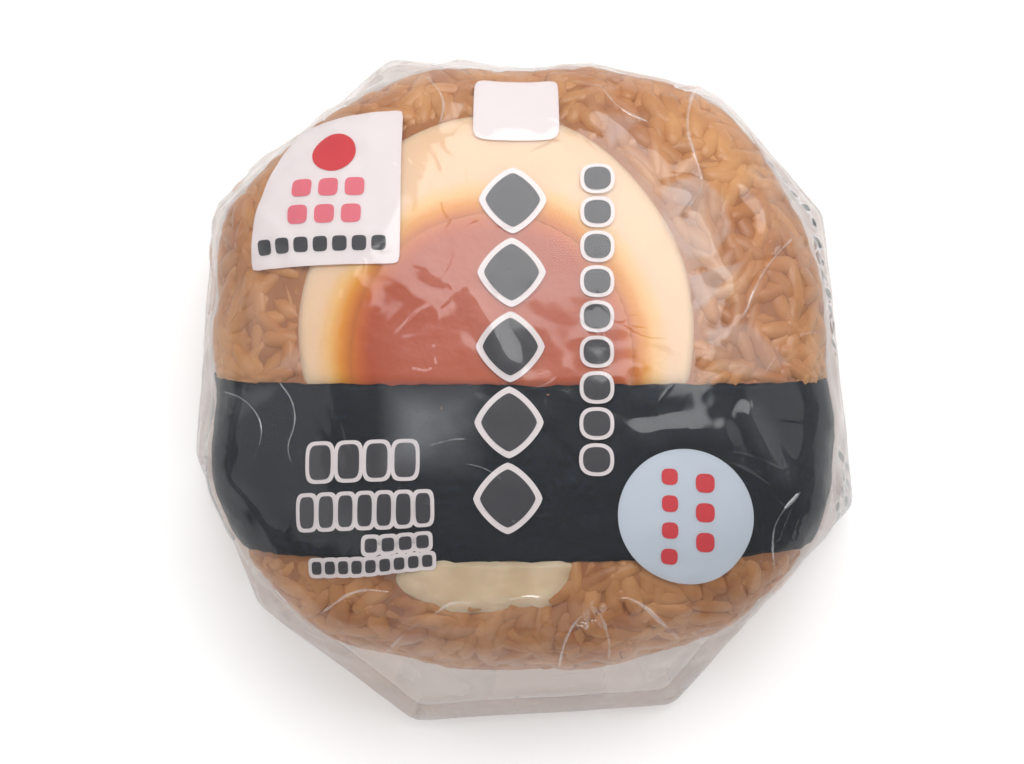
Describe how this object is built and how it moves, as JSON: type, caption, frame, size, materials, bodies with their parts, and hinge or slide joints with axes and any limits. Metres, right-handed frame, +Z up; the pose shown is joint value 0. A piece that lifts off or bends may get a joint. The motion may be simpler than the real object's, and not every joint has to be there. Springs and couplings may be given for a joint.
{
  "type": "rice ball",
  "caption": "Round pressed rice ball of seasoned rice with half a soft-boiled egg, a nori band and mayonnaise, sealed in clear pleated film",
  "frame": {"origin": "on the table, under the centre of the part's bounding box", "axes": "+Z up through the shown face, the part's shortest side; +Y to the top of the print; +X to the right of it"},
  "size_m": [0.0848, 0.0856, 0.034],
  "materials": {
    "wrapped_rice": "clear glossy film over brown seasoned rice",
    "nori": "dark green-black pressed seaweed, soft sheen",
    "egg_white": "smooth, moist, cream white",
    "egg_yolk": "soft and moist, orange red to yellow at the rim",
    "mayonnaise": "smooth, pale cream"
  },
  "bodies": {
    "root": {"wrapped_rice": "wrapped_rice", "nori_band": "nori", "egg_white": "egg_white", "egg_yolk": "egg_yolk", "mayonnaise": "mayonnaise"}
  },
  "joints": []
}
